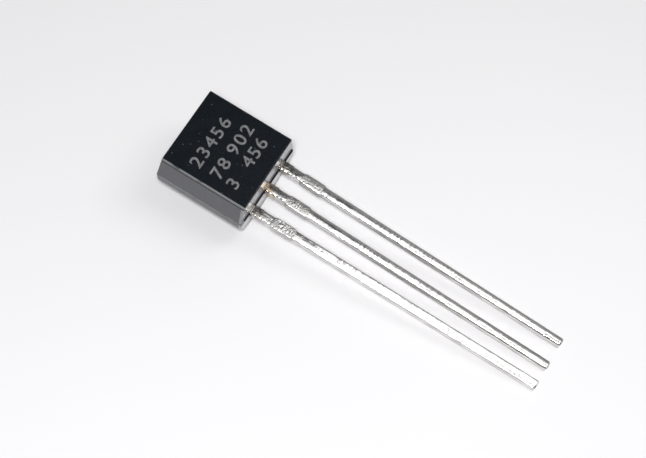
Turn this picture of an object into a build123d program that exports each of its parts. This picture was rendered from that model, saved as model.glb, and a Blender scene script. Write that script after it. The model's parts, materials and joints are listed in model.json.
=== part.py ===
from build123d import *
import os
from math import asin, atan2, degrees, hypot, radians, tan

# A triac in a moulded three-lead package of the small D-shaped kind, lying on its round back.
# All lengths are in millimetres and all angles in degrees.
#
# The package frame, in which every piece is drawn:
#   X runs across the row of leads, from the A1 lead to the A2 lead,
#   Y runs from the lead tips to the closed end of the case,
#   Z points out of the flat face, and the mould's parting plane is Z = 0.
# The last step lays the whole package down, so that its lead tips and the rounded
# edge of its back rest on Z = 0.

# ---- case -----------------------------------------------------------------------------
flat_width = 3.95  # the flat face, across the leads
flat_height = 4.22  # the flat face, along the leads
parting_width = 4.42  # the widest section, across the leads
parting_height = 4.34  # the widest section of the front half, along the leads
front_depth = 1.35  # from the parting plane to the flat face
back_depth = 2.25  # from the parting plane to the crest of the round back
back_end_draft = 2.0  # the end faces of the back half lean in by this angle
flat_edge_radius = 0.05
back_edge_radius = 0.10
ledge_depth = 0.07  # the back half stands out this far past the front half at the lead end

# ---- leads ----------------------------------------------------------------------------
lead_pitch = 1.27
lead_width = 0.41
lead_thickness = 0.38
lead_length = 14.5  # from the ledge to the tip
lead_rise = 0.10  # the leads' front surface stands this far in front of the parting plane
lead_bend = 2.9  # every lead is bent back from the plane of the frame by this angle
lead_edge_radius = 0.03
lead_tip_radius = 0.06
shoulder_length = 0.45  # a lead is a little wider where it leaves the mould
shoulder_width = 0.03  # on each side
shoulder_slope = 0.06
dam_bar_start = 1.00  # from the ledge to the cut dam bar
dam_bar_height = 1.15
dam_bar_stub = 0.05  # what the trimming tool left of the dam bar on each side
dam_bar_slope = 0.12
# Each lead leans sideways a little, and a positive angle leans towards A2.
lead_lean = {"a1": 0.57, "gate": -0.22, "a2": -0.25}
lead_place = {"a1": -1, "gate": 0, "a2": 1}

# ---- what the case holds --------------------------------------------------------------
frame_margin = 0.42  # least resin between the lead frame and the outside of the case
bond_pad_width = 0.95
bond_pad_height = 0.80
bond_pad_inset = 0.55  # resin between the lead end of the case and the bond pads
pad_gap = 0.30  # between the bond pads, and between a pad and the die paddle
die_width = 1.30
die_height = 1.15
die_thickness = 0.24
solder_margin = 0.06
solder_thickness = 0.04
main_wire_diameter = 0.12
gate_wire_diameter = 0.06
wire_loop_height = 0.42  # above the die
ball_height = 0.05
foot_height = 0.04
foot_length = 0.24
main_bond_place = (-0.22, -0.10)  # on the die, from its centre
gate_bond_place = (0.42, -0.40)

lead_front = lead_rise
lead_back = lead_rise - lead_thickness
closed_end = parting_height / 2
lead_end = parting_height / 2 + ledge_depth
pad_bottom = -lead_end + bond_pad_inset
pad_top = pad_bottom + bond_pad_height
paddle_bottom = pad_top + pad_gap
paddle_top = closed_end - frame_margin
paddle_half_width = parting_width / 2 - frame_margin
die_centre_x = 0.0
die_centre_y = (paddle_bottom + paddle_top) / 2
solder_front = lead_front + solder_thickness
die_front = solder_front + die_thickness


def outside_of_case():
    """The case's outer form: a tapered front half with a flat face, and a half-round back."""
    front = loft(
        [
            Rectangle(parting_width, parting_height),
            Plane.XY.offset(front_depth) * Rectangle(flat_width, flat_height),
        ]
    )
    rim_and_corners = front.edges().filter_by(lambda edge: edge.center().Z > front_depth / 4)
    front = fillet(rim_and_corners, flat_edge_radius)

    half = parting_width / 2
    back_arc = ThreePointArc((-half, 0), (0, -back_depth), (half, 0))
    back_profile = make_face([back_arc, Line((half, 0), (-half, 0))])
    back = extrude(Plane.XZ * back_profile, parting_height, both=True)
    lean = back_depth * tan(radians(back_end_draft))
    side_points = [
        (-lead_end, 0),
        (closed_end, 0),
        (closed_end - lean, -back_depth),
        (-lead_end + lean, -back_depth),
    ]
    side = Plane.YZ * make_face(Polyline(*side_points, close=True))
    back = back & extrude(side, parting_width, both=True)
    end_arcs = back.edges().filter_by(GeomType.LINE, reverse=True)
    back = fillet(end_arcs, back_edge_radius)
    return front + back


def side_profile(front, back, inner_end):
    """A lead seen from the side: straight in the case, and bent back from where it leaves."""
    drop = lead_length * tan(radians(lead_bend))
    tip = -lead_end - lead_length
    mitre = (front - back) * tan(radians(lead_bend / 2))
    points = [
        (inner_end, front),
        (-lead_end, front),
        (tip, front - drop),
        (tip, back - drop),
        (-lead_end - mitre, back),
        (inner_end, back),
    ]
    return make_face(Polyline(*points, close=True))


def lead_outline(name, inner_outline):
    """A lead seen from the front, outside the case, joined to its outline inside the case."""
    centre = lead_place[name] * lead_pitch
    slope = tan(radians(lead_lean[name]))
    half = lead_width / 2
    stub = half + dam_bar_stub
    steps = [
        (0, half + shoulder_width),
        (shoulder_length, half + shoulder_width),
        (shoulder_length + shoulder_slope, half),
        (dam_bar_start, half),
        (dam_bar_start + dam_bar_slope, stub),
        (dam_bar_start + dam_bar_height - dam_bar_slope, stub),
        (dam_bar_start + dam_bar_height, half),
        (lead_length - lead_tip_radius, half),
        (lead_length, half - lead_tip_radius / 2),
    ]
    right = [(centre + slope * s + w, -lead_end - s) for s, w in steps]
    left = [(centre + slope * s - w, -lead_end - s) for s, w in reversed(steps)]
    return make_face(Polyline(*(inner_outline + right + left), close=True))


def bond_pad_outline(name):
    """The inner end of a wire-bonded lead: a neck, and a pad that locks it into the resin."""
    centre = lead_place[name] * lead_pitch
    half = lead_width / 2
    pad_centre = lead_place[name] * (bond_pad_width + pad_gap)
    left = pad_centre - bond_pad_width / 2
    right = pad_centre + bond_pad_width / 2
    return [
        (centre - half, -lead_end),
        (centre - half, pad_bottom),
        (left, pad_bottom),
        (left, pad_top),
        (right, pad_top),
        (right, pad_bottom),
        (centre + half, pad_bottom),
        (centre + half, -lead_end),
    ]


def paddle_outline():
    """The inner end of the A2 lead: a neck along the side, and the paddle that carries the die."""
    centre = lead_place["a2"] * lead_pitch
    half = lead_width / 2
    return [
        (centre - half, -lead_end),
        (centre - half, paddle_bottom),
        (-paddle_half_width, paddle_bottom),
        (-paddle_half_width, paddle_top),
        (paddle_half_width, paddle_top),
        (paddle_half_width, paddle_bottom),
        (centre + half, paddle_bottom),
        (centre + half, -lead_end),
    ]


def lead(name, inner_outline):
    """One lead: its outline from the front and its profile from the side, crossed."""
    inner_end = max(y for x, y in inner_outline)
    plate = extrude(lead_outline(name, inner_outline), lead_length, both=True)
    profile = Plane.YZ * side_profile(lead_front, lead_back, inner_end)
    return plate & extrude(profile, parting_width, both=True)


def soften_edges(piece):
    """Round the long edges of a lead's plated, stamped shank beyond the dam bar."""
    shank_start = -lead_end - dam_bar_start - dam_bar_height
    outer = piece.edges().filter_by(lambda edge: edge.center().Y < shank_start)
    shank = outer.filter_by(lambda edge: edge.length > lead_length / 2)
    return fillet(shank, lead_edge_radius)


def block(width, height, low, high, x, y):
    """A flat rectangular block between two levels."""
    plate = Plane.XY.offset(low) * Pos(x, y) * Rectangle(width, height)
    return extrude(plate, high - low)


def bond_wire(diameter, die_point, pad_point):
    """A wire from a ball on the die, over a loop, to a flattened foot on a bond pad."""
    radius = diameter / 2
    ball = Pos(*die_point, die_front + ball_height / 2) * Cylinder(2 * radius, ball_height)
    foot = block(2 * diameter, foot_length, lead_front, lead_front + foot_height, *pad_point)
    start = Vector(*die_point, die_front + ball_height / 2)
    end = Vector(*pad_point, lead_front + foot_height / 2)
    crest = die_front + wire_loop_height
    path = FilletPolyline(
        start,
        Vector(start.X, start.Y, crest),
        Vector(end.X, end.Y, crest - die_thickness),
        end,
        radius=0.30 * wire_loop_height + radius,
    )
    section = Plane(origin=start, z_dir=(0, 0, 1)) * Circle(radius)
    return sweep(section, path=path) + ball + foot


lead_a1 = soften_edges(lead("a1", bond_pad_outline("a1")))
lead_gate = soften_edges(lead("gate", bond_pad_outline("gate")))
lead_a2 = soften_edges(lead("a2", paddle_outline()))
die_solder = block(
    die_width + 2 * solder_margin,
    die_height + 2 * solder_margin,
    lead_front,
    solder_front,
    die_centre_x,
    die_centre_y,
)
die = block(die_width, die_height, solder_front, die_front, die_centre_x, die_centre_y)
pad_centre_y = (pad_bottom + pad_top) / 2
wire_a1 = bond_wire(
    main_wire_diameter,
    (die_centre_x + main_bond_place[0], die_centre_y + main_bond_place[1]),
    (lead_place["a1"] * (bond_pad_width + pad_gap), pad_centre_y),
)
wire_gate = bond_wire(
    gate_wire_diameter,
    (die_centre_x + gate_bond_place[0], die_centre_y + gate_bond_place[1]),
    (lead_place["gate"] * (bond_pad_width + pad_gap), pad_centre_y),
)
held = [lead_a1, lead_gate, lead_a2, die_solder, die, wire_a1, wire_gate]
case = outside_of_case()
for piece in held:
    case = case - piece

pieces = {
    "case": case,
    "lead_a1": lead_a1,
    "lead_gate": lead_gate,
    "lead_a2": lead_a2,
    "die_solder": die_solder,
    "die": die,
    "wire_a1": wire_a1,
    "wire_gate": wire_gate,
}

# ---- lay the package down -------------------------------------------------------------
# It tips about X until the rounded lower edge of the back and the lead tips are level.
edge_angle = 90 + back_end_draft
edge_y = -lead_end + back_depth * tan(radians(back_end_draft))
edge_centre_y = edge_y + back_edge_radius / tan(radians(edge_angle / 2))
edge_centre_z = -back_depth + back_edge_radius
tip_y = -lead_end - lead_length
tip_z = lead_back - lead_length * tan(radians(lead_bend))
run = edge_centre_y - tip_y
fall = edge_centre_z - tip_z
tilt = degrees(asin(back_edge_radius / hypot(run, fall)) - atan2(fall, run))

tipped = {name: Rot(X=tilt) * piece for name, piece in pieces.items()}
boxes = [piece.bounding_box() for piece in tipped.values()]
low_corner = Vector(*(min(tuple(box.min)[k] for box in boxes) for k in range(3)))
high_corner = Vector(*(max(tuple(box.max)[k] for box in boxes) for k in range(3)))
origin = Vector((low_corner.X + high_corner.X) / 2, (low_corner.Y + high_corner.Y) / 2, low_corner.Z)

os.makedirs("parts", exist_ok=True)
for name, piece in tipped.items():
    export_step((Pos(*(-origin)) * piece).solid(), f"parts/{name}.step")

face_centre = Pos(*(-origin)) * Rot(X=tilt) * Pos(0, 0, front_depth)
print(f"tilt {tilt:.4f} degrees")
print("package frame's origin:", Vector(0, 0, 0) - origin)
print("centre of the flat face:", face_centre.position)
print("overall size:", high_corner - low_corner)
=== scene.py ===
import json
from math import atan2, radians

import bpy
from mathutils import Matrix, Quaternion, Vector


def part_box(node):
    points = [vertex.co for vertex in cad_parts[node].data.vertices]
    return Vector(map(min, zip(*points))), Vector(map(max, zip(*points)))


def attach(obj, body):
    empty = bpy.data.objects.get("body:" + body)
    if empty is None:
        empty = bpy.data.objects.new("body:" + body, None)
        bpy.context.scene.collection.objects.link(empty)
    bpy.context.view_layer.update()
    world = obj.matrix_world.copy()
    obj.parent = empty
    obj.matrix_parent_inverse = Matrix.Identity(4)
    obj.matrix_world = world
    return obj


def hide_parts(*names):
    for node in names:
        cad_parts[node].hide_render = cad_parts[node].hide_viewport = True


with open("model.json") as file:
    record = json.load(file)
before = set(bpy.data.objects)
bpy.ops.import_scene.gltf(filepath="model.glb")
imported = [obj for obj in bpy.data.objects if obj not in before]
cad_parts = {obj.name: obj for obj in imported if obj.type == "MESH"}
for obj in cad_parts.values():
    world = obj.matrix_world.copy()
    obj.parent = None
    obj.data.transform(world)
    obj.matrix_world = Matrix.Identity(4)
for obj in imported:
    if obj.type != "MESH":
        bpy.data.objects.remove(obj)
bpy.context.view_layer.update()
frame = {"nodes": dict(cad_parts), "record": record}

bl_info = {
    "name": "Moulded three-lead triac",
    "version": (1, 0, 0),
    "blender": (4, 5, 0),
    "location": "View3D > Sidebar > Triac",
    "description": "Finishes, plated leads and face marking of a small triac, and its studio",
    "category": "Object",
}

MM = 0.001
WHOLE_BODY = "root"
FACE_MOUNT = next(m for m in frame["record"]["mounts"] if m["name"] == "marked_face")
FACE_CENTRE = Vector(FACE_MOUNT["pos_m"])
FACE_NORMAL = Vector(FACE_MOUNT["axis"])
FACE_TILT = atan2(-FACE_NORMAL.y, FACE_NORMAL.z)
FACE_PLACE = Matrix.Translation(FACE_CENTRE) @ Matrix.Rotation(FACE_TILT, 4, "X") @ Matrix.Scale(MM, 4)
LEAD_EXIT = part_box("case")[0].y / MM
LEAD_NAMES = ("lead_a1", "lead_gate", "lead_a2")

# Each lead's crown: how far off the middle it stands, as a share of half the lead, and its height.
CROWN_SHIFT = {"lead_a1": 0.9, "lead_gate": -0.05, "lead_a2": -0.05}
CROWN_SHARE = {"lead_a1": 0.28, "lead_gate": 1.0, "lead_a2": 1.0}
CROWN_START = 0.2       # share of the crown's height that it has at the case
SLICE_REACH = 0.2       # half the length of lead that is measured for its middle, mm
LEVEL_OFF_TIP = 1.0     # where the two measured levels are, from the tip and from the case, mm
LEVEL_OFF_CASE = 4.0
CUT_EDGE = 0.12         # length over which the crinkles of the cut come in, mm
WELD_DISTANCE = 0.0005  # points of a lead's mesh that are nearer than this are one point, mm

# Tones of the case come in and go out between these depths below the flat face, mm.
# Painted reflection: the sides' paler colour comes in over SIDE_DEPTHS. Below BACK_DEPTHS it drops to 0.3 of
# its strength as painted shade over the back half.
SIDE_DEPTHS = (0.03, 0.09)
# Painted highlight lines: RIM_DEPTHS along the rim, SEAM_DEPTHS at the seam.
RIM_DEPTHS = (0.07, 0.10)
# Painted shade lines: UNDER_RIM_DEPTHS below the rim on the long side, PARTING_DEPTHS at the parting line of
# the lead end.
UNDER_RIM_DEPTHS = ((0.08, 0.10), (0.18, 0.22))
SEAM_DEPTHS = ((1.29, 1.32), (1.37, 1.40))
PARTING_DEPTHS = ((1.27, 1.30), (1.40, 1.43))
BACK_DEPTHS = (1.38, 1.46)
# Painted shade: below END_DEPTHS the end face's painted reflection fades out to dark.
END_DEPTHS = (2.3, 2.9)
END_REACH = (0.14, 0.2)  # how far the end face's painted reflection reaches along the case, mm
# Only the long side at -x gets the painted highlight and painted shade lines.
SIDE_PLACE = (-1.95, -1.92)

BLOT_COLOUR = (0.13, 0.12, 0.11, 1.0)
# Painted shade in the lines at both ends of the cut stretch of a lead.
CREASE_SHADE_COLOUR = (0.16, 0.155, 0.15, 1.0)
SILICON_COLOURS = ((0.10, 0.105, 0.13, 1.0), (0.19, 0.20, 0.24, 1.0))
ROOM_COLOURS = ((1.0, 1.0, 1.0, 1.0), (0.24, 0.25, 0.27, 1.0))
ROOM_HEIGHTS = (0.6, 0.93)
RESIN_IOR = 1.46
SILICON_IOR = 3.4

# The lasered rows: figures, left end, baseline and spacing, mm from the middle of the flat face.
MARK_ROWS = (
    ("23456", -1.50, 0.50, 0.565),
    ("78", -1.46, -0.52, 0.56),
    ("902", -0.10, -0.50, 0.56),
    ("3", -1.48, -1.34, 0.5),
    ("456", -0.24, -1.34, 0.53),
)
FIGURE_SHARE = 0.73  # a figure's height as a share of its type size

# Soft lights: name, its power setting, place, the point it faces, and size, mm.
LIGHTS = (
    ("key_light", "key_power", (-40, -13, 100), (0, 0, 0), (12, 12)),
    ("mirror_card", "card_power", (26.5, -29, 90), (0, -2, 0), (31, 60)),
    ("fill_card", "fill_power", (80, -29, 70), (0, -2, 0), (50, 60)),
)
FLOOR_SIZE = 1.2  # m
SENSOR_WIDTH = 36.0


# ---------------------------------------------------------------- sizes and colours ----

class LeadSettings(bpy.types.PropertyGroup):
    """The skin of the tin-plated leads, in millimetres."""

    crown: bpy.props.FloatProperty(
        name="Crown", description="How much the tin stands up along the middle of a lead, mm",
        default=0.074)
    skin_step: bpy.props.FloatProperty(
        name="Skin step", description="Spacing of the points in the plated skin, mm", default=0.028)
    rounding: bpy.props.IntProperty(
        name="Rounding", description="Smoothing passes that round the stamped edges", default=3)
    wave_height: bpy.props.FloatProperty(
        name="Wave height", description="Unevenness of the plating, mm", default=0.007)
    wave_length: bpy.props.FloatProperty(
        name="Wave length", description="Typical length of the plating's waves, mm", default=0.45)
    crinkle_height: bpy.props.FloatProperty(
        name="Crinkle height", description="Depth of the crinkles where the dam bar was cut, mm",
        default=0.036)
    crinkle_length: bpy.props.FloatProperty(
        name="Crinkle length", description="Typical size of the crinkles, mm", default=0.06)
    cut_start: bpy.props.FloatProperty(
        name="Cut start", description="Distance from the case to the cut dam bar, mm", default=1.02)
    cut_length: bpy.props.FloatProperty(
        name="Cut length", description="Length of the crinkled stretch, mm", default=1.1)
    stain_reach: bpy.props.FloatProperty(
        name="Stain reach", description="How far the tint runs out from the case, mm", default=0.55)
    plating_colour: bpy.props.FloatVectorProperty(
        name="Plating", description="Tin plating", subtype="COLOR", default=(0.80, 0.79, 0.775))
    stain_colour: bpy.props.FloatVectorProperty(
        name="Stain", description="Resin-stained tin beside the case", subtype="COLOR",
        default=(0.38, 0.34, 0.29))
    bare_colour: bpy.props.FloatVectorProperty(
        name="Bare copper", description="Thin plating at the root of the middle lead", subtype="COLOR",
        default=(0.70, 0.50, 0.28))


class CaseSettings(bpy.types.PropertyGroup):
    """The moulded case and what is lasered on its flat face."""

    resin_colour: bpy.props.FloatVectorProperty(
        name="Resin", description="Moulding compound", subtype="COLOR", default=(0.0048, 0.0072, 0.0102))
    resin_speck_colour: bpy.props.FloatVectorProperty(
        name="Resin specks", description="Filler grains that show in the resin", subtype="COLOR",
        default=(0.10, 0.105, 0.115))
    # Painted reflection: a paler colour on the sides stands in for the bright floor they mirror.
    side_reflection_colour: bpy.props.FloatVectorProperty(
        name="Sides", description="Sides, paler by painted reflection", subtype="COLOR",
        default=(0.085, 0.087, 0.096))
    # Painted reflection: a paler colour on the lead end face stands in for the bright floor it mirrors.
    end_reflection_colour: bpy.props.FloatVectorProperty(
        name="Lead end", description="End face that the leads leave, given a painted reflection", subtype="COLOR",
        default=(0.25, 0.255, 0.27))
    # Painted highlight: a pale line along the rim of the long side at -x.
    rim_highlight_colour: bpy.props.FloatVectorProperty(
        name="Rim", description="Thin worn line along a long rim", subtype="COLOR",
        default=(0.20, 0.205, 0.215))
    mark_colour: bpy.props.FloatVectorProperty(
        name="Laser mark", description="Resin frosted by the laser", subtype="COLOR",
        default=(0.165, 0.17, 0.175))
    mark_height: bpy.props.FloatProperty(
        name="Figure height", description="Height of the lasered figures, mm", default=0.60)
    mark_stroke: bpy.props.FloatProperty(
        name="Stroke", description="Half the width of the laser's line, mm", default=0.011)
    mark_widening: bpy.props.FloatProperty(
        name="Widening", description="How much wider than usual the figures are", default=1.14)


class StudioSettings(bpy.types.PropertyGroup):
    """The camera and the light."""

    view_heading: bpy.props.FloatProperty(
        name="Heading", description="Where the camera looks, turned from +Y towards +X",
        subtype="ANGLE", default=radians(66.891))
    view_descent: bpy.props.FloatProperty(
        name="Descent", description="How steeply the camera looks down", subtype="ANGLE",
        default=radians(65.505))
    view_roll: bpy.props.FloatProperty(
        name="Roll", description="Turn of the camera about its own axis", subtype="ANGLE",
        default=radians(8.158))
    view_distance: bpy.props.FloatProperty(
        name="Distance", description="From the camera to the point it looks at, mm", default=79.28)
    view_aim: bpy.props.FloatVectorProperty(
        name="Aim", description="The point that the camera looks at, mm", default=(-0.125, 2.015, 1.5))
    lens: bpy.props.FloatProperty(name="Lens", description="Focal length, mm", default=100.31)
    key_power: bpy.props.FloatProperty(
        name="Key", description="Power of the lamp beside the camera, W", default=0.091)
    card_power: bpy.props.FloatProperty(
        name="Card", description="Power of the large card that the leads mirror, W", default=0.018)
    fill_power: bpy.props.FloatProperty(
        name="Fill", description="Power of the dim card beyond the mirror card, W", default=0.002)
    sky_strength: bpy.props.FloatProperty(name="Room", description="Light of the pale room", default=0.21)
    floor_colour: bpy.props.FloatVectorProperty(
        name="Floor", description="Pale paper under the part", subtype="COLOR", default=(0.925, 0.915, 0.928))


# ------------------------------------------------------------------ modelling helpers ----

def clear_selection():
    bpy.ops.object.select_all(action="DESELECT")


def work_on(piece):
    clear_selection()
    piece.select_set(True)
    bpy.context.view_layer.objects.active = piece


def add_modifier(piece, kind, **settings):
    """Add a modifier, set it and apply it."""
    work_on(piece)
    bpy.ops.object.modifier_add(type=kind)
    modifier = piece.modifiers[-1]
    for name, value in settings.items():
        setattr(modifier, name, value)
    bpy.ops.object.modifier_apply(modifier=modifier.name)


def settle(piece, matrix):
    """Put a piece's place into its mesh, so that its object stays at the origin."""
    piece.data.transform(matrix @ piece.matrix_world)
    piece.matrix_world = Matrix.Identity(4)
    piece.data.update()


def join_pieces(pieces, name):
    clear_selection()
    for piece in pieces:
        piece.select_set(True)
    bpy.context.view_layer.objects.active = pieces[0]
    bpy.ops.object.join()
    joined = bpy.context.view_layer.objects.active
    joined.name = name
    joined.data.name = name
    return joined


def finish_piece(piece, material):
    piece.data.materials.clear()
    piece.data.materials.append(material)
    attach(piece, WHOLE_BODY)


def dress_node(node, material):
    """Give a CAD node's own object a finish."""
    mesh = frame["nodes"][node].data
    mesh.materials.clear()
    mesh.materials.append(material)


# ------------------------------------------------------------------- shader helpers ----

class Nodes:
    """A short way to write a node tree."""

    def __init__(self, tree):
        self.tree = tree

    def add(self, kind, inputs=None, **settings):
        node = self.tree.nodes.new(kind)
        for name, value in settings.items():
            setattr(node, name, value)
        for name, value in (inputs or {}).items():
            if isinstance(value, bpy.types.NodeSocket):
                self.tree.links.new(value, node.inputs[name])
            else:
                node.inputs[name].default_value = value
        return node

    def math(self, operation, first, second=0.0):
        return self.add("ShaderNodeMath", {0: first, 1: second}, operation=operation).outputs[0]

    def ramp(self, value, low, high, low_out=0.0, high_out=1.0):
        settings = {"Value": value, "From Min": low, "From Max": high,
                    "To Min": low_out, "To Max": high_out}
        return self.add("ShaderNodeMapRange", settings, interpolation_type="SMOOTHSTEP").outputs[0]

    def band(self, value, rise, fall):
        """1 between two levels: it rises over the first pair of values and falls over the second."""
        return self.math("MULTIPLY", self.ramp(value, *rise), self.ramp(value, *fall, 1.0, 0.0))

    def mix(self, factor, first, second):
        mixer = self.add("ShaderNodeMix", data_type="RGBA")
        for index, value in ((0, factor), (6, first), (7, second)):
            if isinstance(value, bpy.types.NodeSocket):
                self.tree.links.new(value, mixer.inputs[index])
            else:
                mixer.inputs[index].default_value = value
        return mixer.outputs[2]

    def noise(self, place, scale, detail=3.0, roughness=0.55):
        settings = {"Vector": place, "Scale": scale, "Detail": detail, "Roughness": roughness}
        return self.add("ShaderNodeTexNoise", settings).outputs["Fac"]

    def place_mm(self, stretch=(1, 1, 1)):
        """Object coordinates in millimetres, optionally stretched."""
        coordinates = self.add("ShaderNodeTexCoord").outputs["Object"]
        scale = tuple(k / MM for k in stretch)
        return self.add("ShaderNodeMapping", {"Vector": coordinates, "Scale": scale}).outputs[0]

    def bump(self, height, distance_mm, strength=1.0):
        settings = {"Height": height, "Distance": distance_mm * MM, "Strength": strength}
        return self.add("ShaderNodeBump", settings).outputs[0]


def colour4(colour):
    return (*colour, 1.0)


def new_material(name):
    material = bpy.data.materials.new(name)
    material.use_nodes = True
    nodes = Nodes(material.node_tree)
    shader = material.node_tree.nodes["Principled BSDF"]
    return material, nodes, shader


def link(nodes, shader, **sockets):
    for name, value in sockets.items():
        nodes.tree.links.new(value, shader.inputs[name.replace("_", " ")])


def mottle_group():
    """Shared effect: a fine surface grain with sparse specks, from two noises and a cell pattern."""
    name = "mottle"
    if name in bpy.data.node_groups:
        return bpy.data.node_groups[name]
    group = bpy.data.node_groups.new(name, "ShaderNodeTree")
    vector = group.interface.new_socket("Place", in_out="INPUT", socket_type="NodeSocketVector")
    vector.hide_value = True
    scales = (("Grain scale", 20.0), ("Patch scale", 2.0), ("Speck scale", 6.0), ("Speck size", 0.1))
    for label, default in scales:
        socket = group.interface.new_socket(label, in_out="INPUT", socket_type="NodeSocketFloat")
        socket.default_value = default
    for label in ("Grain", "Patches", "Specks"):
        group.interface.new_socket(label, in_out="OUTPUT", socket_type="NodeSocketFloat")
    nodes = Nodes(group)
    source = nodes.add("NodeGroupInput").outputs
    sink = nodes.add("NodeGroupOutput")
    grain = nodes.noise(source["Place"], source["Grain scale"], detail=4.0, roughness=0.6)
    patches = nodes.noise(source["Place"], source["Patch scale"])
    cells = nodes.add("ShaderNodeTexVoronoi", {"Vector": source["Place"], "Scale": source["Speck scale"]})
    near = nodes.math("LESS_THAN", cells.outputs["Distance"], source["Speck size"])
    chance = nodes.math("GREATER_THAN", cells.outputs["Color"], 0.5)
    specks = nodes.math("MULTIPLY", near, chance)
    for label, value in (("Grain", grain), ("Patches", patches), ("Specks", specks)):
        group.links.new(value, sink.inputs[label])
    return group


def mottle(nodes, place, grain, patch, speck, speck_size):
    settings = {"Place": place, "Grain scale": grain, "Patch scale": patch,
                "Speck scale": speck, "Speck size": speck_size}
    return nodes.add("ShaderNodeGroup", settings, node_tree=mottle_group()).outputs


# ------------------------------------------------------------------------ materials ----

def resin_material(settings):
    """Nearly black and glossy on the flat face. The sides and the lead end are made paler as painted
    reflection, with painted highlight lines along the rim and seam of the long side at -x, and painted shade
    in a line under that rim, at the lead end's parting line, over the back half and at the foot of the end
    face.
    """
    material, nodes, shader = new_material("moulding_compound")
    place = nodes.place_mm()
    effect = mottle(nodes, place, 26.0, 1.6, 4.2, 0.13)
    along_normal = nodes.add("ShaderNodeVectorMath", {0: place, 1: tuple(FACE_NORMAL)},
                             operation="DOT_PRODUCT")
    level = FACE_NORMAL.dot(FACE_CENTRE) / MM
    depth = nodes.math("SUBTRACT", level, along_normal.outputs["Value"])
    across, along = nodes.add("ShaderNodeSeparateXYZ", {0: place}).outputs[:2]
    side = nodes.ramp(depth, *SIDE_DEPTHS)
    # Painted reflection on the lead end face, faded out as painted shade below END_DEPTHS.
    near_leads = nodes.ramp(along, *[LEAD_EXIT + reach for reach in END_REACH], 1.0, 0.0)
    lead_end = nodes.math("MULTIPLY", nodes.math("MULTIPLY", near_leads, side),
                          nodes.ramp(depth, *END_DEPTHS, 1.0, 0.0))
    on_long_side = nodes.ramp(across, *SIDE_PLACE, 1.0, 0.0)
    uneven = nodes.ramp(effect["Patches"], 0.32, 0.5, 0.35, 1.0)
    # Painted highlight: a pale line at the rim and at the seam of the long side at -x, broken up by patches.
    rim = nodes.ramp(depth, *RIM_DEPTHS, 1.0, 0.0)
    seam_line = nodes.band(depth, *SEAM_DEPTHS)
    highlit = nodes.math("MULTIPLY", nodes.math("ADD", rim, seam_line),
                      nodes.math("MULTIPLY", on_long_side, uneven))
    under_rim = nodes.band(depth, *UNDER_RIM_DEPTHS)
    dark = colour4(settings.resin_colour)
    light = colour4([1.25 * c for c in settings.resin_colour])
    speck_tone = colour4(settings.resin_speck_colour)
    face_tone = nodes.mix(nodes.ramp(effect["Patches"], 0.35, 0.7), dark, light)
    specked = nodes.mix(nodes.math("MULTIPLY", effect["Specks"], 0.6), face_tone, speck_tone)
    # Painted reflection on the long sides. Below the parting line it falls to 0.3 of its strength as painted
    # shade over the back half.
    front_side = nodes.math("MULTIPLY", side, nodes.ramp(depth, *BACK_DEPTHS, 1.0, 0.3))
    long_sides = nodes.mix(front_side, specked, colour4(settings.side_reflection_colour))
    sides = nodes.mix(lead_end, long_sides, colour4(settings.end_reflection_colour))
    # Painted shade: dark lines under the rim of the long side and at the lead end's parting line.
    parting = nodes.band(depth, *PARTING_DEPTHS)
    painted_shade_lines = nodes.math("MAXIMUM", nodes.math("MULTIPLY", under_rim, on_long_side),
                         nodes.math("MULTIPLY", parting, lead_end))
    shaded = nodes.mix(painted_shade_lines, sides, dark)
    tone = nodes.mix(highlit, shaded, colour4(settings.rim_highlight_colour))
    face_roughness = nodes.ramp(effect["Grain"], 0.3, 0.7, 0.20, 0.28)
    roughness = nodes.math("SUBTRACT", face_roughness, nodes.math("MULTIPLY", lead_end, 0.10))
    normal = nodes.bump(effect["Grain"], 0.003, 0.5)
    link(nodes, shader, Base_Color=tone, Roughness=roughness, Normal=normal)
    shader.inputs["IOR"].default_value = RESIN_IOR
    return material


def laser_material(settings):
    material, nodes, shader = new_material("laser_frosting")
    effect = mottle(nodes, nodes.place_mm(), 42.0, 7.0, 20.0, 0.2)
    base = settings.mark_colour
    tone = nodes.mix(nodes.ramp(effect["Patches"], 0.3, 0.7), colour4([0.7 * c for c in base]),
                     colour4([1.25 * c for c in base]))
    normal = nodes.bump(effect["Grain"], 0.006, 0.8)
    link(nodes, shader, Base_Color=tone, Normal=normal)
    shader.inputs["Roughness"].default_value = 0.7
    return material


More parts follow.
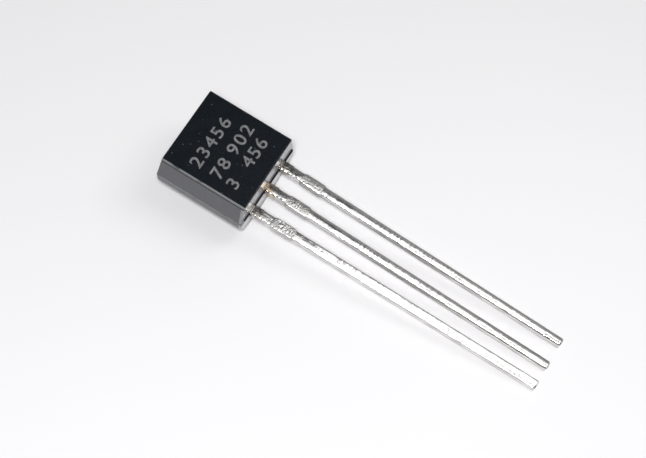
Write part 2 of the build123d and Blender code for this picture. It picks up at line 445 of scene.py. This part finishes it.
def tin_material(settings):
    """Bright drawn tin, stained at the roots and dull where the dam bar was cut. Painted shade greys its
    sides and edges and darkens both ends of the cut.
    """
    material, nodes, shader = new_material("tin_plating")
    place = nodes.place_mm()
    effect = mottle(nodes, place, 9.0, 3.6, 7.0, 0.1)
    across, along = nodes.add("ShaderNodeSeparateXYZ", {0: place}).outputs[:2]
    from_case = nodes.math("SUBTRACT", LEAD_EXIT, along)
    ragged = nodes.math("ADD", from_case, nodes.ramp(effect["Patches"], 0.3, 0.7, -0.3, 0.3))
    stain = nodes.ramp(ragged, 0.05, settings.stain_reach, 0.85, 0.0)
    root = nodes.ramp(ragged, 0.55, 0.75, 1.0, 0.0)
    blots = nodes.math("MULTIPLY", nodes.ramp(nodes.noise(place, 7.0), 0.56, 0.60, 0.0, 0.8), root)
    middle = nodes.ramp(nodes.math("ABSOLUTE", across), 0.35, 0.45, 1.0, 0.0)
    cut_end = settings.cut_start + settings.cut_length
    shake = nodes.math("ADD", from_case, nodes.ramp(effect["Grain"], 0.3, 0.7, -0.06, 0.06))
    cut = nodes.band(shake, (settings.cut_start - 0.03, settings.cut_start + 0.03),
                     (cut_end - 0.03, cut_end + 0.03))
    # Painted shade lines at both ends of the cut stretch, strongest where the cut mask is half way.
    half_cut = nodes.math("ABSOLUTE", nodes.math("SUBTRACT", nodes.math("MULTIPLY", cut, 2.0), 1.0))
    crease_shade = nodes.math("SUBTRACT", 1.0, half_cut)
    streaks = nodes.noise(nodes.place_mm((1.0, 0.16, 1.0)), 7.0, detail=4.0, roughness=0.6)
    ridges = nodes.noise(nodes.place_mm((0.5, 1.5, 0.5)), 6.0, roughness=0.6)
    plating = colour4(settings.plating_colour)
    dull = colour4([0.82 * c for c in settings.plating_colour])
    grey = colour4([0.62 * c for c in settings.plating_colour])
    # Painted shade: where the normal points sideways the tin is mixed towards grey, and the rounded edges
    # between top and side get a darker line.
    sideways = nodes.add("ShaderNodeAttribute", attribute_name="sideways").outputs["Fac"]
    side_shade = nodes.ramp(sideways, 0.75, 0.95)
    edge_shade = nodes.band(sideways, (0.3, 0.5), (0.75, 0.95))
    drawn = nodes.mix(nodes.ramp(streaks, 0.42, 0.66, 0.0, 0.6), plating, dull)
    shaded_side_streaks = nodes.math("MULTIPLY", side_shade, nodes.ramp(streaks, 0.40, 0.58, 0.2, 0.9))
    tone = nodes.mix(shaded_side_streaks, nodes.mix(nodes.math("MULTIPLY", edge_shade, 0.75), drawn, grey), grey)
    stain_tone = nodes.mix(middle, colour4(settings.stain_colour), colour4(settings.bare_colour))
    tinted = nodes.mix(stain, tone, stain_tone)
    blotted = nodes.mix(blots, tinted, BLOT_COLOUR)
    crinkled = nodes.mix(nodes.math("MULTIPLY", cut, 0.8), blotted, grey)
    crease_shaded = nodes.mix(nodes.math("MULTIPLY", crease_shade, 0.7), crinkled, CREASE_SHADE_COLOUR)
    smooth_roughness = nodes.ramp(streaks, 0.35, 0.7, 0.13, 0.24)
    roughness = nodes.math("ADD", smooth_roughness, nodes.math("MULTIPLY", cut, 0.16))
    ridge_height = nodes.ramp(from_case, 2.0, 9.0, 0.3, 4.0)
    height = nodes.math("ADD", streaks, nodes.math("MULTIPLY", ridges, ridge_height))
    link(nodes, shader, Base_Color=crease_shaded, Roughness=roughness, Normal=nodes.bump(height, 0.012, 0.6))
    shader.inputs["Metallic"].default_value = 1.0
    return material


def inner_metal(name, colour, roughness, grain):
    material, nodes, shader = new_material(name)
    effect = mottle(nodes, nodes.place_mm(), grain, 4.0, 9.0, 0.1)
    tone = nodes.mix(nodes.ramp(effect["Patches"], 0.35, 0.65), colour4(colour),
                     colour4([0.75 * c for c in colour]))
    rough = nodes.ramp(effect["Grain"], 0.3, 0.7, roughness, roughness + 0.12)
    link(nodes, shader, Base_Color=tone, Roughness=rough, Normal=nodes.bump(effect["Grain"], 0.003, 0.4))
    shader.inputs["Metallic"].default_value = 1.0
    return material


def silicon_material():
    material, nodes, shader = new_material("silicon")
    effect = mottle(nodes, nodes.place_mm(), 30.0, 2.0, 9.0, 0.1)
    tone = nodes.mix(effect["Patches"], *SILICON_COLOURS)
    link(nodes, shader, Base_Color=tone, Roughness=nodes.ramp(effect["Grain"], 0.3, 0.7, 0.12, 0.2))
    shader.inputs["IOR"].default_value = SILICON_IOR
    return material


def floor_material(settings):
    material, nodes, shader = new_material("pale_floor")
    effect = mottle(nodes, nodes.place_mm(), 3.0, 0.03, 1.0, 0.0)
    base = settings.floor_colour
    tone = nodes.mix(nodes.ramp(effect["Patches"], 0.3, 0.7), colour4([0.985 * c for c in base]),
                     colour4(base))
    link(nodes, shader, Base_Color=tone, Normal=nodes.bump(effect["Grain"], 0.002, 0.2))
    shader.inputs["Roughness"].default_value = 0.6
    return material


# ------------------------------------------------------------------------ operators ----

class TRIAC_OT_case(bpy.types.Operator):
    """Finish the moulded case and what is sealed in it"""

    bl_idname = "triac.case"
    bl_label = "Case and inside"

    def execute(self, context):
        dress_node("case", resin_material(context.scene.triac_case))
        dress_node("die", silicon_material())
        dress_node("die_solder", inner_metal("soft_solder", (0.55, 0.55, 0.56), 0.4, 12.0))
        wire = inner_metal("drawn_aluminium", (0.86, 0.86, 0.87), 0.2, 40.0)
        dress_node("wire_a1", wire)
        dress_node("wire_gate", wire)
        return {"FINISHED"}


def noise_texture(name, size, depth):
    texture = bpy.data.textures.new(name, "CLOUDS")
    texture.noise_scale = size
    texture.noise_depth = depth
    return texture


def slice_middle(piece, level):
    """The middle of a lead and half its width, across the row, near a level along it."""
    across = [v.co.x for v in piece.data.vertices if abs(v.co.y - level) < SLICE_REACH]
    return (min(across) + max(across)) / 2, (max(across) - min(across)) / 2


def crown_lead(piece, height, shift):
    """Let the tin stand up in a low ridge along a lead, higher towards its tip.

    The ridge is shifted sideways by a share of the lead's width.
    """
    tip = min(v.co.y for v in piece.data.vertices)
    low, high = tip + LEVEL_OFF_TIP, LEAD_EXIT - LEVEL_OFF_CASE
    low_middle = slice_middle(piece, low)[0]
    high_middle, half = slice_middle(piece, high)
    slope = (high_middle - low_middle) / (high - low)
    group = piece.vertex_groups.new(name="crown")
    for vertex in piece.data.vertices:
        if vertex.co.y > LEAD_EXIT or vertex.normal.z < 0:
            continue
        middle = low_middle + slope * (vertex.co.y - low) + shift * half
        reach = half * (1 + abs(shift))
        from_case = (LEAD_EXIT - vertex.co.y) / (LEAD_EXIT - tip)
        growth = min(1.0, CROWN_START + (1 - CROWN_START) * from_case)
        weight = growth * vertex.normal.z * (1 - ((vertex.co.x - middle) / reach) ** 2)
        if weight > 0:
            group.add([vertex.index], weight, "REPLACE")
    add_modifier(piece, "DISPLACE", strength=height * (1 + abs(shift)), mid_level=0.0,
                 vertex_group="crown")


def plated_lead(node, settings, material):
    """A lead's stamped form with softened edges, an uneven tin skin and a crinkled dam bar cut.

    It is worked on at a size of one unit to the millimetre.
    """
    mesh = frame["nodes"][node].data.copy()
    mesh.transform(Matrix.Scale(1 / MM, 4))
    piece = bpy.data.objects.new(f"{node}_plated", mesh)
    bpy.context.scene.collection.objects.link(piece)
    work_on(piece)
    bpy.ops.object.mode_set(mode="EDIT")
    bpy.ops.mesh.select_all(action="SELECT")
    bpy.ops.mesh.remove_doubles(threshold=WELD_DISTANCE)
    bpy.ops.object.mode_set(mode="OBJECT")
    add_modifier(piece, "REMESH", mode="VOXEL", voxel_size=settings.skin_step)
    add_modifier(piece, "SMOOTH", factor=0.5, iterations=settings.rounding)
    crown_lead(piece, settings.crown * CROWN_SHARE[node], CROWN_SHIFT[node])
    cut_top = LEAD_EXIT - settings.cut_start
    cut_bottom = cut_top - settings.cut_length
    group = piece.vertex_groups.new(name="dam_bar_cut")
    for vertex in piece.data.vertices:
        depth = min(cut_top - vertex.co.y, vertex.co.y - cut_bottom)
        if depth > 0:
            group.add([vertex.index], min(1.0, depth / CUT_EDGE), "REPLACE")
    add_modifier(piece, "DISPLACE", texture=noise_texture("plating_waves", settings.wave_length, 1),
                 strength=settings.wave_height, mid_level=0.5, texture_coords="LOCAL")
    add_modifier(piece, "DISPLACE", texture=noise_texture("cut_crinkles", settings.crinkle_length, 2),
                 strength=settings.crinkle_height, mid_level=0.5, texture_coords="LOCAL",
                 vertex_group="dam_bar_cut")
    piece.vertex_groups.clear()
    # The sideways share of each normal, which the tin's painted shade on sides and edges reads.
    sideways = piece.data.attributes.new("sideways", "FLOAT", "POINT")
    for vertex in piece.data.vertices:
        sideways.data[vertex.index].value = abs(vertex.normal.x)
    work_on(piece)
    bpy.ops.object.shade_smooth()
    settle(piece, Matrix.Scale(MM, 4))
    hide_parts(node)
    finish_piece(piece, material)


class TRIAC_OT_leads(bpy.types.Operator):
    """Cover the three stamped leads with their uneven tin plating"""

    bl_idname = "triac.leads"
    bl_label = "Plated leads"

    def execute(self, context):
        settings = context.scene.triac_leads
        material = tin_material(settings)
        for node in LEAD_NAMES:
            plated_lead(node, settings, material)
        return {"FINISHED"}


def figures(text, left, baseline, height, pitch, settings):
    """A row of lasered figures: each one a filled shape with a raised, frosted outline."""
    made = []
    for index, figure in enumerate(text):
        for outline in (False, True):
            clear_selection()
            bpy.ops.object.text_add(location=(left + index * pitch, baseline, 0.0))
            piece = bpy.context.view_layer.objects.active
            piece.data.body = figure
            piece.data.size = height / FIGURE_SHARE
            piece.data.resolution_u = 4
            piece.scale = (settings.mark_widening, 1.0, 1.0)
            if outline:
                piece.data.fill_mode = "NONE"
                piece.data.bevel_depth = settings.mark_stroke
                piece.data.bevel_resolution = 1
            else:
                piece.data.extrude = settings.mark_stroke / 4
            bpy.ops.object.convert(target="MESH")
            made.append(bpy.context.view_layer.objects.active)
    return made


class TRIAC_OT_marking(bpy.types.Operator):
    """Laser plain counting figures on the flat face"""

    bl_idname = "triac.marking"
    bl_label = "Face marking"

    def execute(self, context):
        settings = context.scene.triac_case
        height = settings.mark_height
        made = []
        for text, left, baseline, pitch in MARK_ROWS:
            made += figures(text, left, baseline, height, pitch, settings)
        piece = join_pieces(made, "face_marking")
        settle(piece, FACE_PLACE)
        finish_piece(piece, laser_material(settings))
        return {"FINISHED"}


def softbox(name, power, place, aim, size):
    lamp = bpy.data.lights.new(name, "AREA")
    lamp.shape = "RECTANGLE"
    lamp.size, lamp.size_y = size[0] * MM, size[1] * MM
    lamp.energy = power
    lamp_object = bpy.data.objects.new(name, lamp)
    bpy.context.scene.collection.objects.link(lamp_object)
    place = Vector(place) * MM
    lamp_object.location = place
    lamp_object.rotation_euler = (Vector(aim) * MM - place).to_track_quat("-Z", "Y").to_euler()


class TRIAC_OT_studio(bpy.types.Operator):
    """Lay a pale floor, light it softly and set the camera"""

    bl_idname = "triac.studio"
    bl_label = "Studio"

    def execute(self, context):
        settings = context.scene.triac_studio
        clear_selection()
        bpy.ops.mesh.primitive_plane_add(size=FLOOR_SIZE, location=(0, 0, 0))
        floor = bpy.context.view_layer.objects.active
        floor.name = "floor"
        floor.data.materials.append(floor_material(settings))
        self.set_camera(context.scene, settings)
        for name, power, place, aim, size in LIGHTS:
            softbox(name, getattr(settings, power), place, aim, size)
        self.set_room(context.scene, settings)
        context.scene.view_settings.view_transform = "Standard"
        return {"FINISHED"}

    def set_camera(self, scene, settings):
        level = Quaternion((0, 0, 1), -settings.view_heading)
        forward = level @ Quaternion((1, 0, 0), -settings.view_descent) @ Vector((0, 1, 0))
        camera = bpy.data.objects.new("camera", bpy.data.cameras.new("camera"))
        scene.collection.objects.link(camera)
        camera.location = (Vector(settings.view_aim) - forward * settings.view_distance) * MM
        turned = forward.to_track_quat("-Z", "Y") @ Quaternion((0, 0, 1), settings.view_roll)
        camera.rotation_euler = turned.to_euler()
        camera.data.lens = settings.lens
        camera.data.sensor_width = SENSOR_WIDTH
        camera.data.clip_start = 0.001
        scene.camera = camera

    def set_room(self, scene, settings):
        world = bpy.data.worlds.new("pale_room")
        world.use_nodes = True
        nodes = Nodes(world.node_tree)
        background = world.node_tree.nodes["Background"]
        direction = nodes.add("ShaderNodeTexCoord").outputs["Generated"]
        height = nodes.add("ShaderNodeSeparateXYZ", {0: direction}).outputs["Z"]
        room = nodes.mix(nodes.ramp(height, *ROOM_HEIGHTS), *ROOM_COLOURS)
        world.node_tree.links.new(room, background.inputs["Color"])
        background.inputs["Strength"].default_value = settings.sky_strength
        scene.world = world


class TRIAC_PT_panel(bpy.types.Panel):
    """Steps and settings of the triac"""

    bl_idname = "TRIAC_PT_panel"
    bl_label = "Triac"
    bl_space_type = "VIEW_3D"
    bl_region_type = "UI"
    bl_category = "Triac"

    def draw(self, context):
        for operator in OPERATORS:
            self.layout.operator(operator.bl_idname)
        for group in SETTINGS:
            settings = getattr(context.scene, group)
            for name in settings.bl_rna.properties.keys():
                if name not in ("rna_type", "name"):
                    self.layout.prop(settings, name)


SETTINGS = {"triac_case": CaseSettings, "triac_leads": LeadSettings, "triac_studio": StudioSettings}
OPERATORS = (TRIAC_OT_case, TRIAC_OT_leads, TRIAC_OT_marking, TRIAC_OT_studio)


def register():
    for kind in (*SETTINGS.values(), *OPERATORS, TRIAC_PT_panel):
        bpy.utils.register_class(kind)
    for name, kind in SETTINGS.items():
        setattr(bpy.types.Scene, name, bpy.props.PointerProperty(type=kind))


def unregister():
    for name in SETTINGS:
        delattr(bpy.types.Scene, name)
    for kind in reversed((*SETTINGS.values(), *OPERATORS, TRIAC_PT_panel)):
        bpy.utils.unregister_class(kind)


def main():
    register()
    bpy.ops.triac.case()
    bpy.ops.triac.leads()
    bpy.ops.triac.marking()
    bpy.ops.triac.studio()


if __name__ == "__main__":
    main()
